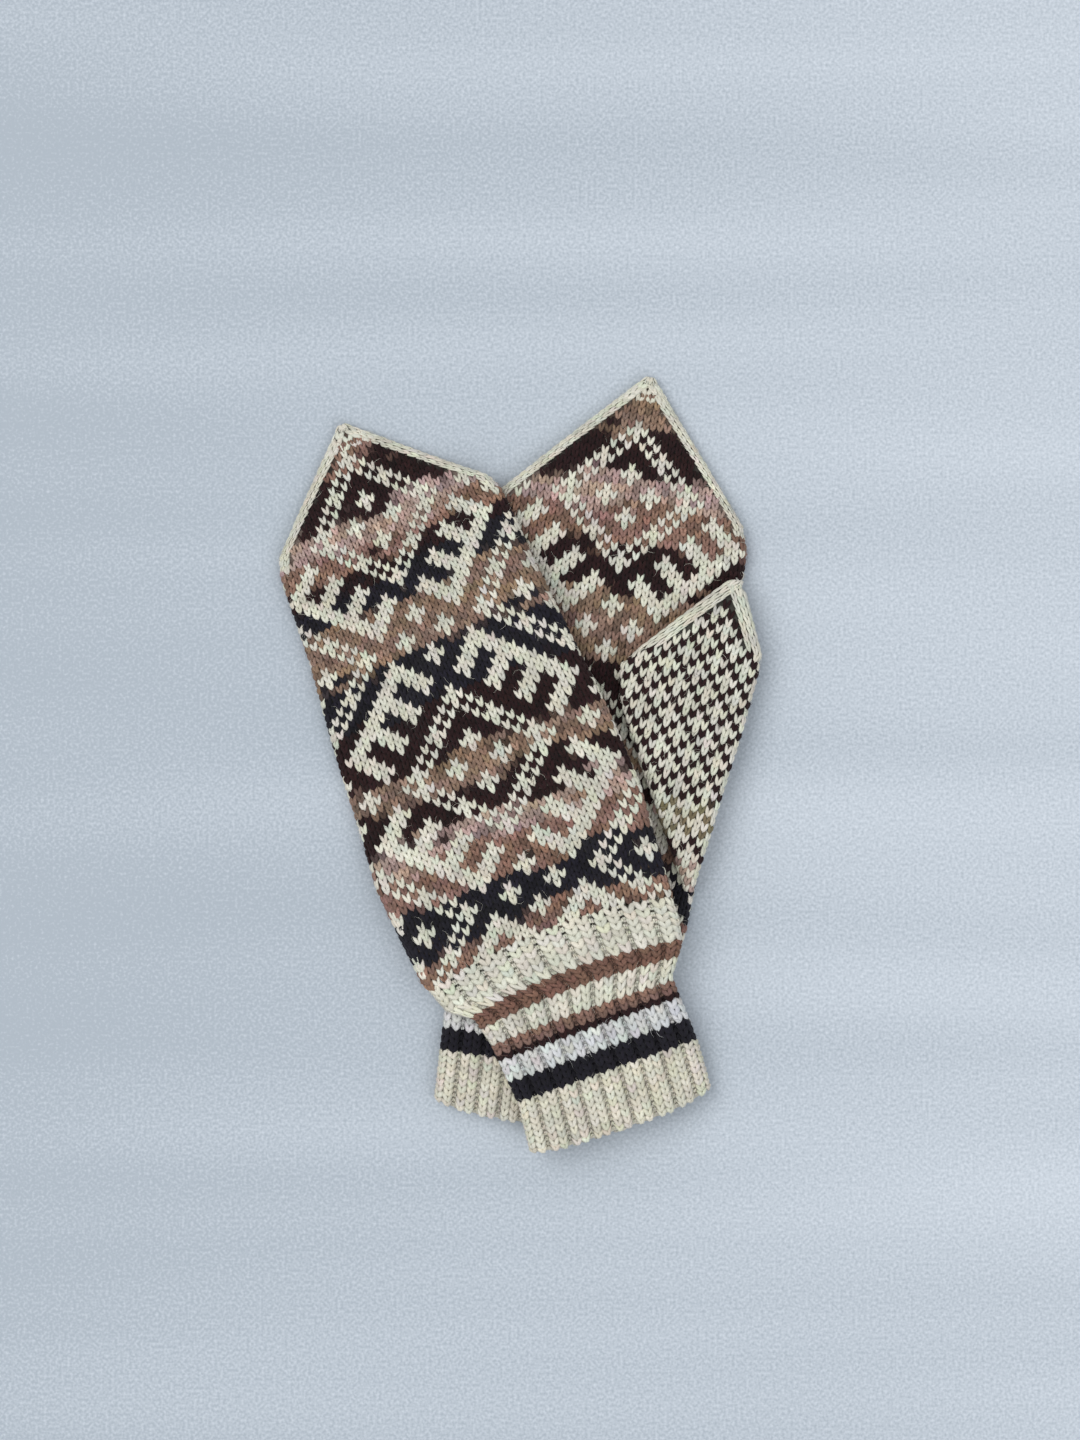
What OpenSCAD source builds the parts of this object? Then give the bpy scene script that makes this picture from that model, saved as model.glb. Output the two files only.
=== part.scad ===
// A pair of knitted mittens, laid crossed on a table. The right-hand mitten lies below with its palm up
// and its thumb on top. The left-hand mitten lies over it with its back up and its thumb folded under.
// Units are millimetres. Z is up, and the table is z = 0. Each mitten has its own flat coordinates:
// s runs across it, and a runs along it from the cast-on edge of the cuff to the tip.

/* [Size] */
// Length from the cast-on edge to the tip
mitten_length = 287; // [280:1:294]
// Width of the cuff at its cast-on edge
cuff_width = 74; // [70:1:78]
// Widest width of the left hand, below the thumb
left_hand_width = 107; // [102:1:110]
// Widest width of the right hand
right_hand_width = 102; // [97:1:106]
// Length of the ribbed cuff
cuff_length = 80; // [76:1:84]

/* [Fabric] */
// Thickness of the two-yarn knitted fabric
fabric = 1.8; // [1.4:0.1:2]
// Thickness of the thumb's fabric
thumb_fabric = 1.3; // [1:0.1:1.3]
// Height of a hand or cuff as it lies, both walls and the air between them
lay = 8.6; // [8.6:0.2:11]
// Height of a thumb as it lies
thumb_lay = 7; // [7:0.2:8]

/* [Lay on the table] */
// Lean of the left mitten, tip to the left
left_lean = 21.7; // [20:0.1:24]
// Lean of the right mitten, tip to the right
right_lean = 9.2; // [8:0.1:11]

/* [Hidden] */

cream = "#d8d4bf";
white = "#d2d4d2";
brown = "#7c5240";
taupe = "#5b4340";
navy = "#1e1c28";
dark = "#33242a";

above = 1;
below = -1;
clearance = 0.5;        // between one mitten and the other
slack = 0.8;            // over and under a thumb, which lies between two hands
joint_gap = 0.3;        // between a thumb's free end and its gusset
edge_radius = 5;        // rounded side edges of a flattened tube
tip_plug = 9;           // length of the closed last rows at the tip
ramp = 32;              // distance over which the upper mitten comes down from the lower one
thumb_ramp = 16;        // the same, for the fold over a thumb
plateau = 3;            // how far the upper mitten stays up past the edge below it

// Where the cuff's stripes begin, from the cast-on edge up
cast_on_end = 2.4;
welt_end = 23.9;
navy_end = 32.6;
white_end = 41.6;
taupe_end = 48.8;
cream_end = 57.6;
brown_end = 64.5;

// A mitten is [cuff x, cuff y, lean, half widths along a, sideways bend along a, slant of the cuff].
right_shoulder = mitten_length - 55;
left_shoulder = mitten_length - 43;
right_half = right_hand_width / 2;
left_half = left_hand_width / 2;
cuff_half = cuff_width / 2;
right = [
    3.4, -137.1, -right_lean,
    [[0, cuff_half], [navy_end, cuff_half + 0.5], [taupe_end, cuff_half + 1], [brown_end - 5, right_half - 9],
     [brown_end + 2, right_half - 6], [cuff_length, right_half - 2.5], [131, right_half],
     [200, right_half - 0.5], [right_shoulder - 5, right_half - 1.5],
     [right_shoulder + 4, right_half - 4.5], [mitten_length, 1.5]],
    [[0, 0], [welt_end, -1], [cuff_length, -2], [200, -3], [right_shoulder, -3.3], [mitten_length, 0]],
    0
];
left = [
    38.7, -138.4, left_lean,
    [[0, cuff_half - 0.7], [welt_end, cuff_half - 1.2], [taupe_end, cuff_half - 0.5],
     [brown_end - 5, left_half - 11.5], [brown_end + 2, left_half - 6.5], [cuff_length, left_half - 3.5],
     [119, left_half], [159, left_half - 2.3], [205, left_half - 6.5], [left_shoulder - 3, left_half - 8.5],
     [left_shoulder + 4, left_half - 11], [mitten_length, 1.5]],
    [[0, 0.5], [welt_end, 3], [taupe_end, 2.5], [brown_end - 5, 5.5], [brown_end + 2, 2], [cuff_length, 0.5],
     [119, 1], [159, 2], [left_shoulder, 2], [mitten_length, 0]],
    0.06
];
corner_rise = 4;        // the cast-on edge curves up at its corners

// A thumb is [left edge along a, right edge along a]. Its gusset starts in a point at the side of the palm.
gusset_start = 97;
gusset_hollow = 112;
passage_start = 128;
passage_end = 158;
crotch = 170;
thumb_hollow_end = 208;
thumb_end = 216;
right_thumb_sides = [
    [[gusset_start, 43.5], [120, 31], [131, 25], [159, 10], [crotch, 6.5], [178, 6], [thumb_end, 42]],
    [[gusset_start, 46.5], [120, 50], [139, 52.5], [159, 55.5], [183, 58], [190, 57.5], [thumb_end, 46]]
];
left_thumb_sides = [
    [[gusset_start, 42], [120, 26], [131, 17], [159, 2], [crotch, -3], [178, -4], [thumb_end, 30]],
    [[gusset_start, 45.5], [126, 47], [190, 46], [thumb_end, 34]]
];
droop_start = 44;       // the right thumb hangs over the side of the hand from here
droop_width = 16;
droop = 3;

function eased(t) = let (u = max(0, min(1, t))) u * u * (3 - 2 * u);

// Flat mitten coordinates to the table and back
function at(m, s, a) = [m[0] + s * cos(m[2]) - a * sin(m[2]), m[1] + s * sin(m[2]) + a * cos(m[2])];
function along(m, p) = let (d = [p.x - m[0], p.y - m[1]]) -d.x * sin(m[2]) + d.y * cos(m[2]);
function across(m, p) = let (d = [p.x - m[0], p.y - m[1]]) d.x * cos(m[2]) + d.y * sin(m[2]);

function half_width(m, a) = lookup(a, m[3]);
function bend(m, a) = lookup(a, m[4]);
function half_height(a) = lay / 2 * (0.64 + 0.36 * eased((mitten_length - a) / 50));

// How far a cuff's row is moved along a: it slants, and it curves up at the cast-on edge's corners
function row_rise(m, s, a) =
    -m[5] * s * (1 - eased(a / 90))
        + corner_rise * pow(abs(s) / cuff_half, 4) * max(0, 1 - a / welt_end);

// How far point p of the table is over a hand or a thumb: 1 over it, falling to 0 round it
function over_hand(m, p) =
    let (s = across(m, p) - bend(m, along(m, p)), a = along(m, p), reach = ramp + plateau)
    eased((half_width(m, a) + reach - abs(s)) / ramp) * eased((a + reach) / ramp);
function over_thumb(m, sides, p) =
    let (s = across(m, p), a = along(m, p), reach = thumb_ramp + plateau)
    eased((lookup(a, sides[1]) + reach - s) / thumb_ramp)
        * eased((s - lookup(a, sides[0]) + reach) / thumb_ramp)
        * eased((a - gusset_start + reach) / thumb_ramp)
        * eased((thumb_end + reach - a) / thumb_ramp);

// Height at which a mitten's underside lies over point p of the table
function over_right(p) = (lay + clearance) * over_hand(right, p);
function over_thumbs(p) =
    let (l = over_thumb(left, left_thumb_sides, p), r = over_thumb(right, right_thumb_sides, p))
    (thumb_lay + 2 * slack) * (1 - (1 - l) * (1 - r));
function ground(m, p) = m == left ? over_right(p) + over_thumbs(p) : 0;

// Half turn round a flattened tube, from its +s side over the top: the rounded edges take the
// first and last 45 degrees, and the flat face the middle 90.
half_turn = [0, 15, 30, each [45:9:135], 150, 165];
full_turn = [each half_turn, for (t = half_turn) t + 180];
thumb_turn = [0:15:345];
function outline(half_w, half_h, r, th) =
    let (t = (th + 45) % 360 - 45, flat = half_w - r)
    t < 45 ? [flat + r * cos(2 * t), half_h * sin(2 * t)]
        : t < 135 ? [flat * (90 - t) / 45, half_h]
        : t < 225 ? [-flat - r * cos(2 * (t - 180)), -half_h * sin(2 * (t - 180))]
        : [flat * (t - 270) / 45, -half_h];
function hand_point(m, a, th, inset) =
    let (half_w = half_width(m, a),
         r = min(edge_radius, half_w),
         q = outline(half_w - inset, half_height(a) - inset, max(0, r - inset), th),
         s = q.x + bend(m, a),
         p = at(m, s, a + row_rise(m, s, a)))
    [p.x, p.y, ground(m, p) + half_height(a) + q.y];

// Grids of points: one row per station along a, one point per angle
function ring_grid(m, rows, inset) =
    [for (a = rows) [for (th = full_turn) hand_point(m, a, th, inset)]];
function band_angle(a, shoulder) = a <= shoulder ? 0 : 45;
function panel_grid(m, rows, shoulder, side, inset) =
    [for (a = rows) let (b = band_angle(a, shoulder), from = side == above ? b : 180 + b)
        [for (t = [each half_turn, 180]) hand_point(m, a, from + (180 - 2 * b) * t / 180, inset)]];
function band_grid(m, rows, middle, inset) =
    [for (a = rows) [for (t = [-45:15:45]) hand_point(m, a, middle + t, inset)]];

// Two triangles for the four corners of a grid cell
function cell(a, b, c, d) = [[a, b, c], [a, c, d]];

// A wall between an outer and an inner grid of points. loop joins each row's last point to its
// first, shut closes the "first" or "last" row, and hole leaves out cells [first row, past the last
// row, first column, past the last column].
module wall(outer, inner, loop = false, shut = "none", hole = [0, 0, 0, 0]) {
    rows = len(outer);
    n = len(outer[0]);
    span = loop ? n : n - 1;
    last = rows - 1;
    caps = 2 * rows * n;
    o = function (i, j) i * n + j % n;
    k = function (i, j) rows * n + i * n + j % n;
    kept = function (i, j) i < hole[0] || i >= hole[1] || j < hole[2] || j >= hole[3];
    cells = [for (i = [0:rows - 2], j = [0:span - 1]) if (kept(i, j)) [i, j]];
    // edges of the wall where it begins and ends along a, and round the tube
    starts = concat(shut == "first" ? [] : [for (j = [0:span - 1]) [0, j]], hole_edge(hole, hole[1]));
    ends = concat(shut == "last" ? [] : [for (j = [0:span - 1]) [last, j]], hole_edge(hole, hole[0]));
    lefts = concat(loop ? [] : [for (i = [0:rows - 2]) [i, 0]], hole_side(hole, hole[3]));
    rights = concat(loop ? [] : [for (i = [0:rows - 2]) [i, n - 1]], hole_side(hole, hole[2]));
    faces = concat(
        [for (c = cells) let (i = c[0], j = c[1])
            each cell(o(i, j), o(i, j + 1), o(i + 1, j + 1), o(i + 1, j))],
        [for (c = cells) let (i = c[0], j = c[1])
            each cell(k(i, j), k(i + 1, j), k(i + 1, j + 1), k(i, j + 1))],
        [for (c = starts) let (i = c[0], j = c[1]) each cell(o(i, j), k(i, j), k(i, j + 1), o(i, j + 1))],
        [for (c = ends) let (i = c[0], j = c[1]) each cell(o(i, j), o(i, j + 1), k(i, j + 1), k(i, j))],
        [for (c = lefts) let (i = c[0], j = c[1]) each cell(o(i, j), o(i + 1, j), k(i + 1, j), k(i, j))],
        [for (c = rights) let (i = c[0], j = c[1]) each cell(o(i, j), k(i, j), k(i + 1, j), o(i + 1, j))],
        shut == "first" ? [for (j = [0:n - 1]) each [[caps, o(0, j + 1), o(0, j)],
                                                     [caps + 1, k(0, j), k(0, j + 1)]]] : [],
        shut == "last" ? [for (j = [0:n - 1]) each [[caps, o(last, j), o(last, j + 1)],
                                                    [caps + 1, k(last, j + 1), k(last, j)]]] : []
    );
    shut_row = shut == "last" ? last : 0;
    middles = shut == "none" ? [] : [middle(outer[shut_row]), middle(inner[shut_row])];
    polyhedron(concat([for (r = outer) each r], [for (r = inner) each r], middles), faces);
}
function hole_edge(hole, i) = hole[1] > hole[0] ? [for (j = [hole[2]:hole[3] - 1]) [i, j]] : [];
function hole_side(hole, j) = hole[1] > hole[0] ? [for (i = [hole[0]:hole[1] - 1]) [i, j]] : [];
function middle(ring) =
    [for (axis = [0:2]) let (v = [for (p = ring) p[axis]]) (min(v) + max(v)) / 2];

// A closed skin over a row of rings, each end shut with a fan of triangles
module skin(rings) {
    rows = len(rings);
    n = len(rings[0]);
    caps = rows * n;
    points = concat([for (r = rings) each r], [middle(rings[0]), middle(rings[rows - 1])]);
    faces = concat(
        [for (i = [0:rows - 2], j = [0:n - 1]) let (e = (j + 1) % n)
            each cell(i * n + j, i * n + e, (i + 1) * n + e, (i + 1) * n + j)],
        [for (j = [0:n - 1]) [caps, (j + 1) % n, j]],
        [for (j = [0:n - 1]) [caps + 1, (rows - 1) * n + j, (rows - 1) * n + (j + 1) % n]]
    );
    polyhedron(points, faces);
}

function spaced(from, to, n) = [for (i = [0:n]) from + (to - from) * i / n];
function stations(from, to, step) = spaced(from, to, max(1, round((to - from) / step)));

// Patterned panel: the half of the hand above or below its side lines.
// A palm has a passage into the thumb's gusset.
module panel(m, shoulder, side, passage = false) {
    lower = [
        each stations(cuff_length, passage_start, 10),
        each stations(passage_start + 10, passage_end, 10),
        each stations(passage_end + 10, shoulder, 10)
    ];
    rows = [each lower, each stations(shoulder + 0.5, mitten_length - tip_plug, 7)];
    from = search(passage_start, rows)[0];
    to = search(passage_end, rows)[0];
    wall(panel_grid(m, rows, shoulder, side, 0), panel_grid(m, rows, shoulder, side, fabric),
         hole = !passage ? [0, 0, 0, 0] : side == above ? [from, to, 3, 5] : [from, to, 11, 13]);
}

// Cream decrease bands round both slanted edges of the pointed end
module edge_band(m, shoulder) {
    rows = stations(shoulder + 0.5, mitten_length - tip_plug, 7);
    for (middle = [0, 180]) wall(band_grid(m, rows, middle, 0), band_grid(m, rows, middle, fabric));
}

// The last stitches, drawn together into a closed point
module tip(m) {
    skin(ring_grid(m, [for (d = [tip_plug, 5, 2, 0]) mitten_length - d], 0));
}

// One yarn's rounds of the ribbed cuff
module cuff_band(m, from, to) {
    rows = stations(from, to, 9);
    wall(ring_grid(m, rows, 0), ring_grid(m, rows, fabric), loop = true);
}

// Height that a thumb's underside lies at
function thumb_ground(m, s, a) =
    m == left ? over_right(at(left, s, a)) + slack
              : lay + joint_gap - droop * eased((s - droop_start) / droop_width);
function thumb_point(m, sides, a, th, inset) =
    let (low = lookup(a, sides[0]), high = lookup(a, sides[1]),
         half_w = (high - low) / 2,
         half_h = thumb_lay / 2 * (0.75 + 0.25 * eased((thumb_end - a) / 20))
             * (0.6 + 0.4 * eased((a - gusset_start) / 14)),
         r = min(thumb_lay / 2, half_w * 0.9),
         q = outline(half_w - inset, half_h - inset, max(0.2, r - inset), th),
         s = (low + high) / 2 + q.x,
         p = at(m, s, a))
    [p.x, p.y, thumb_ground(m, s, a) + half_h + q.y];
function thumb_rings(m, sides, rows, inset) =
    [for (a = rows) [for (th = thumb_turn) thumb_point(m, sides, a, th, inset)]];

// The thumb's wedge of added stitches, open to the hand and to the thumb. Its way in faces the palm.
module gusset(m, sides) {
    open = [each stations(passage_start, passage_end, 10), crotch - joint_gap];
    outer = thumb_rings(m, sides, [gusset_start, 105, 115, each open], 0);
    inner = thumb_rings(m, sides, [gusset_hollow, 116, 121, each open], thumb_fabric);
    first_column = m == left ? 4 : 16;
    wall(outer, inner, loop = true, shut = "first", hole = [3, 6, first_column, first_column + 4]);
}

// The free end of the thumb, a closed pointed tube
module thumb(m, sides) {
    outer = thumb_rings(m, sides, spaced(crotch, thumb_end, 7), 0);
    inner = thumb_rings(m, sides, spaced(crotch, thumb_hollow_end, 7), thumb_fabric);
    wall(outer, inner, loop = true, shut = "last");
}

color(dark) panel(right, right_shoulder, below);  // right_back
color(dark) panel(right, right_shoulder, above, passage = true);  // right_palm
color(cream) edge_band(right, right_shoulder);  // right_edge_band
color(cream) tip(right);  // right_tip
color(dark) gusset(right, right_thumb_sides);  // right_gusset
color(dark) thumb(right, right_thumb_sides);  // right_thumb
color(cream) cuff_band(right, 0, cast_on_end);  // right_cast_on
color(cream) cuff_band(right, cast_on_end, welt_end);  // right_welt
color(navy) cuff_band(right, welt_end, navy_end);  // right_stripe_navy
color(white) cuff_band(right, navy_end, white_end);  // right_stripe_white
color(taupe) cuff_band(right, white_end, taupe_end);  // right_stripe_taupe
color(cream) cuff_band(right, taupe_end, cream_end);  // right_stripe_cream
color(brown) cuff_band(right, cream_end, brown_end);  // right_stripe_brown
color(cream) cuff_band(right, brown_end, cuff_length);  // right_cuff_top

color(dark) panel(left, left_shoulder, above);  // left_back
color(dark) panel(left, left_shoulder, below, passage = true);  // left_palm
color(cream) edge_band(left, left_shoulder);  // left_edge_band
color(cream) tip(left);  // left_tip
color(dark) gusset(left, left_thumb_sides);  // left_gusset
color(dark) thumb(left, left_thumb_sides);  // left_thumb
color(cream) cuff_band(left, 0, cast_on_end);  // left_cast_on
color(cream) cuff_band(left, cast_on_end, welt_end);  // left_welt
color(navy) cuff_band(left, welt_end, navy_end);  // left_stripe_navy
color(white) cuff_band(left, navy_end, white_end);  // left_stripe_white
color(taupe) cuff_band(left, white_end, taupe_end);  // left_stripe_taupe
color(cream) cuff_band(left, taupe_end, cream_end);  // left_stripe_cream
color(brown) cuff_band(left, cream_end, brown_end);  // left_stripe_brown
color(cream) cuff_band(left, brown_end, cuff_length);  // left_cuff_top
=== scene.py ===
"""A pair of knitted mittens, laid crossed on a table.

Every visible stitch is a piece of yarn: two legs of a V for a knit stitch, two bars for a purl one. The yarn is
laid on the same flattened tubes that the CAD solids have, with its middle line a little inside their surface. The
crowns of the stitches and the stray fibres stand out of that surface, by up to about a millimetre. Lengths are
millimetres until a mesh is made. A mitten's own coordinates are a, along it from the cast-on edge, and s, across it.
"""

import bpy
import numpy as np
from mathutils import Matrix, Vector


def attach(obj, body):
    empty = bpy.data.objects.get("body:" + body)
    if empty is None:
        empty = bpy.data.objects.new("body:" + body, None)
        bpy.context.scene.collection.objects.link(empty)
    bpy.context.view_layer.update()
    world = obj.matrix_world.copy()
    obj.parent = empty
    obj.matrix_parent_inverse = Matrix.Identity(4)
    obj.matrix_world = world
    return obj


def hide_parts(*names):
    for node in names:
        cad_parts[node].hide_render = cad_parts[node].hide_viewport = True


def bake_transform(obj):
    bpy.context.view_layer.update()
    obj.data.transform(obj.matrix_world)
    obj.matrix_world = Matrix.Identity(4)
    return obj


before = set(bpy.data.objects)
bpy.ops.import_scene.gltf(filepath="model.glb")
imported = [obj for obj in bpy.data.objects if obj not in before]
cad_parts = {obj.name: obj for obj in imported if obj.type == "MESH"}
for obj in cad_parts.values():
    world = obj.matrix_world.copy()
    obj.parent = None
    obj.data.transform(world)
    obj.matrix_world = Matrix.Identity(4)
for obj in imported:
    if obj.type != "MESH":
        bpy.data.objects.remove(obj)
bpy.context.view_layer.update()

MM = 0.001
random = np.random.default_rng(7)

# --- Sizes, as in the CAD ---------------------------------------------------------------------------------------
LENGTH = 287.0
LAY = 8.6                # height of a hand or cuff as it lies
FABRIC = 1.8
CLEARANCE = 0.5
SLACK = 0.8              # over and under a thumb
THUMB_LAY = 7.0
THUMB_FABRIC = 1.3
JOINT_GAP = 0.3
EDGE_RADIUS = 5.0
RAMP = 32.0
THUMB_RAMP = 16.0
PLATEAU = 3.0
CUFF_HALF = 37.0
RIGHT_HALF = 51.0
LEFT_HALF = 53.5
WELT_END, NAVY_END, WHITE_END, TAUPE_END, CREAM_END, BROWN_END, CUFF_END = 23.9, 32.6, 41.6, 48.8, 57.6, 64.5, 80.0
CAST_ON_END = 2.4
CORNER_RISE = 4.0
GUSSET_START, CROTCH, THUMB_END = 97.0, 170.0, 216.0
DROOP_START, DROOP_WIDTH, DROOP = 44.0, 16.0, 3.0

# --- The knitting -----------------------------------------------------------------------------------------------
AROUND = 72              # stitches round a hand or cuff
FACE = AROUND // 2
REPEAT = 36              # the diamonds' repeat, both ways
ROW = 2.753              # height of one round of the hand
BAND = 5.4               # half the width of the cream edge band round the pointed end, over the edge
INSET = 0.62             # height 0 of a stitch is this far inside the CAD surface
YARN = 0.6               # the yarn's radius
CAST_ON_DRAW, CAST_ON_DRAWN = 1.1, 45.0      # the ribs are drawn up by this at the cast-on edge, over this length
LEFT_CHECK_SHIFT = -10.0     # how far the left thumb's check is moved across it, from the right thumb's


def eased(t):
    u = np.clip(t, 0, 1)
    return u * u * (3 - 2 * u)


# --- Colours, as they look on a screen --------------------------------------------------------------------------
def screen(*value):
    v = np.array(value) / 255
    return tuple(np.where(v < 0.04045, v / 12.92, ((v + 0.055) / 1.055) ** 2.4))


CREAM = screen(211, 208, 194)
WARM_CREAM = screen(212, 207, 192)
WHITE = screen(206, 206, 205)
BROWN = screen(135, 105, 92)
RUST = screen(120, 90, 77)
CAMEL = screen(139, 114, 98)
MAUVE = screen(171, 147, 138)
PLUM = screen(37, 17, 18)
NAVY = screen(25, 23, 32)
TAUPE = screen(122, 96, 87)

# The self-striping dark yarn: each colour with the round of the chart it starts at
LEFT_STRIPES = [
    (-27, BROWN), (-21.9, NAVY), (-15.7, BROWN), (-10.4, MAUVE), (-7.4, PLUM), (-2.5, CAMEL), (1.3, PLUM),
    (8.8, NAVY), (16.1, CAMEL), (23.5, NAVY), (27.8, PLUM), (30.6, BROWN), (33.3, MAUVE), (37.0, PLUM), (43.8, BROWN),
]
RIGHT_STRIPES = [
    (-27, BROWN), (-19, NAVY), (-13, BROWN), (-8, MAUVE), (-5, PLUM), (-1, CAMEL), (3, PLUM), (10, PLUM),
    (13.9, CAMEL), (22.3, PLUM), (28.8, BROWN), (34.1, MAUVE), (38.3, PLUM), (44.7, CAMEL),
]
THUMB_STRIPES = [(0, MAUVE), (108, PLUM), (118, screen(118, 108, 84)), (131, PLUM)]
BLEND = 0.8              # rounds over which one colour passes into the next


def stripe_colour(stripes, y):
    stops = np.array([s for s, c in stripes])
    colours = np.array([c for s, c in stripes])
    index = np.clip(np.searchsorted(stops, y, side="right") - 1, 0, len(stops) - 1)
    before = np.clip(index - 1, 0, None)
    t = eased((y - stops[index]) / BLEND)[..., None]
    return colours[before] * (1 - t) + colours[index] * t


def self_striping(stripes, x, y):
    """The dark yarn at stitches x, y: its stripes end raggedly, and every colour drifts a little."""
    ragged = 1.0 * np.sin(x / 4.3 + y * 1.9) + 0.8 * np.sin(x / 2.1 - y * 0.8) + random.normal(0, 0.35, len(x))
    colour = stripe_colour(stripes, y + 0.7 * ragged)
    golden = 0.05 * np.sin(x / 5.2 + y * 0.9 + 1) + 0.04 * np.sin(x / 1.7 - y * 2.3)
    depth = random.normal(1, 0.18, len(x))
    return colour * depth[:, None] * (1 + golden[:, None] * np.array([0.4, 0.5, -1.0]))


class Mitten:
    """One mitten's outline, and how it lies.

    widths, bends, thumb_low and thumb_high are [a, value] stations. pulls says how the laid fabric is pulled out of
    square: for each way, where along the mitten a pull starts, over what length it grows, and its amount.
    """

    def __init__(self, name, place, lean, shoulder, slant, widths, bends, thumb_low, thumb_high, chart_middle,
                 pulls, stripes):
        self.name = name
        self.place = place
        self.lean = np.radians(lean)
        self.shoulder = shoulder
        self.slant = slant
        self.widths = np.array(widths)
        self.bends = np.array(bends)
        self.thumb_low = np.array(thumb_low)
        self.thumb_high = np.array(thumb_high)
        self.chart_middle = chart_middle    # a at the foot of the chart's row 0, in the middle of the main diamond
        self.pulls = pulls
        self.stripes = stripes
        self.thumb_offset = 0 if name == "right" else LEFT_CHECK_SHIFT
        self.first_row = int(np.ceil((CUFF_END + 5 - chart_middle) / ROW))
        self.last_row = int((LENGTH + 4 - chart_middle) / ROW)

    def pulled(self, way, a):
        """The sum of the pulls one way, each of which starts at some a and grows over a length to its amount."""
        return sum(amount * eased((a - start) / over) for start, over, amount in self.pulls[way])

    def drifted(self, u, a, top=True):
        """How the laid fabric is pulled out of square: where the stitch at u round from the middle, a up, ends up."""
        round_by, slope, bow = (self.pulled(way, a) for way in ("round", "slope", "bow"))
        up = CAST_ON_DRAW * (1 - eased(a / CAST_ON_DRAWN)) + self.pulled("up", a)
        turned = u + round_by if top else u - round_by
        return turned, np.minimum(a + up + slope * u + bow * u * u, LENGTH - 0.4)

    def half_width(self, a):
        return np.interp(a, self.widths[:, 0], self.widths[:, 1])

    def bend(self, a):
        return np.interp(a, self.bends[:, 0], self.bends[:, 1])

    def half_height(self, a):
        return LAY / 2 * (0.64 + 0.36 * eased((LENGTH - a) / 50))

    def at(self, s, a):
        c, n = np.cos(self.lean), np.sin(self.lean)
        return self.place[0] + s * c - a * n, self.place[1] + s * n + a * c

    def own(self, x, y):
        c, n = np.cos(self.lean), np.sin(self.lean)
        dx, dy = x - self.place[0], y - self.place[1]
        return dx * c + dy * n, -dx * n + dy * c


right = Mitten(
    "right", (3.4, -137.1), -9.2, LENGTH - 55, 0.0,
    [[0, CUFF_HALF], [NAVY_END, CUFF_HALF + 0.5], [TAUPE_END, CUFF_HALF + 1], [BROWN_END - 5, RIGHT_HALF - 9],
     [BROWN_END + 2, RIGHT_HALF - 6], [CUFF_END, RIGHT_HALF - 2.5], [131, RIGHT_HALF], [200, RIGHT_HALF - 0.5],
     [LENGTH - 60, RIGHT_HALF - 1.5], [LENGTH - 51, RIGHT_HALF - 4.5], [LENGTH, 1.5]],
    [[0, 0], [WELT_END, -1], [CUFF_END, -2], [200, -3], [LENGTH - 55, -3.3], [LENGTH, 0]],
    [[GUSSET_START, 43.5], [120, 31], [131, 25], [159, 10], [CROTCH, 6.5], [178, 6], [THUMB_END, 42]],
    [[GUSSET_START, 46.5], [120, 50], [139, 52.5], [159, 55.5], [183, 58], [190, 57.5], [THUMB_END, 46]],
    139.3,
    {"round": [(60, 120, 2.8), (210, 65, -3.3)], "up": [(150, 65, 0.8)],
     "slope": [(150, 65, 0.045), (225, 45, -0.025)], "bow": [(40, 45, -0.002), (95, 45, 0.002)]},
    RIGHT_STRIPES)
left = Mitten(
    "left", (38.7, -138.4), 21.7, LENGTH - 43, 0.06,
    [[0, CUFF_HALF - 0.7], [WELT_END, CUFF_HALF - 1.2], [TAUPE_END, CUFF_HALF - 0.5],
     [BROWN_END - 5, LEFT_HALF - 11.5], [BROWN_END + 2, LEFT_HALF - 6.5], [CUFF_END, LEFT_HALF - 3.5],
     [119, LEFT_HALF], [159, LEFT_HALF - 2.3], [205, LEFT_HALF - 6.5], [LENGTH - 46, LEFT_HALF - 8.5],
     [LENGTH - 39, LEFT_HALF - 11], [LENGTH, 1.5]],
    [[0, 0.5], [WELT_END, 3], [TAUPE_END, 2.5], [BROWN_END - 5, 5.5], [BROWN_END + 2, 2], [CUFF_END, 0.5],
     [119, 1], [159, 2], [LENGTH - 43, 2], [LENGTH, 0]],
    [[GUSSET_START, 42], [120, 26], [131, 17], [159, 2], [CROTCH, -3], [178, -4], [THUMB_END, 30]],
    [[GUSSET_START, 45.5], [126, 47], [190, 46], [THUMB_END, 34]],
    152.3,
    {"round": [(60, 40, 2.6), (110, 50, -2.8), (175, 60, -3.4)],
     "up": [(66, 24, -4.6), (120, 90, 2.6), (215, 40, -2.4)],
     "slope": [(145, 110, 0.075)], "bow": [(30, 45, -0.0022), (90, 45, 0.0022)]},
    LEFT_STRIPES)


# --- How the upper mitten lies over the lower one and over the thumbs -------------------------------------------
def over_hand(m, x, y):
    s, a = m.own(x, y)
    reach = RAMP + PLATEAU
    return eased((m.half_width(a) + reach - np.abs(s - m.bend(a))) / RAMP) * eased((a + reach) / RAMP)


def over_thumb(m, x, y):
    s, a = m.own(x, y)
    reach = THUMB_RAMP + PLATEAU
    low = np.interp(a, m.thumb_low[:, 0], m.thumb_low[:, 1])
    high = np.interp(a, m.thumb_high[:, 0], m.thumb_high[:, 1])
    return (eased((high + reach - s) / THUMB_RAMP) * eased((s - low + reach) / THUMB_RAMP)
            * eased((a - GUSSET_START + reach) / THUMB_RAMP) * eased((THUMB_END + reach - a) / THUMB_RAMP))


def over_right(x, y):
    return (LAY + CLEARANCE) * over_hand(right, x, y)


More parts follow.
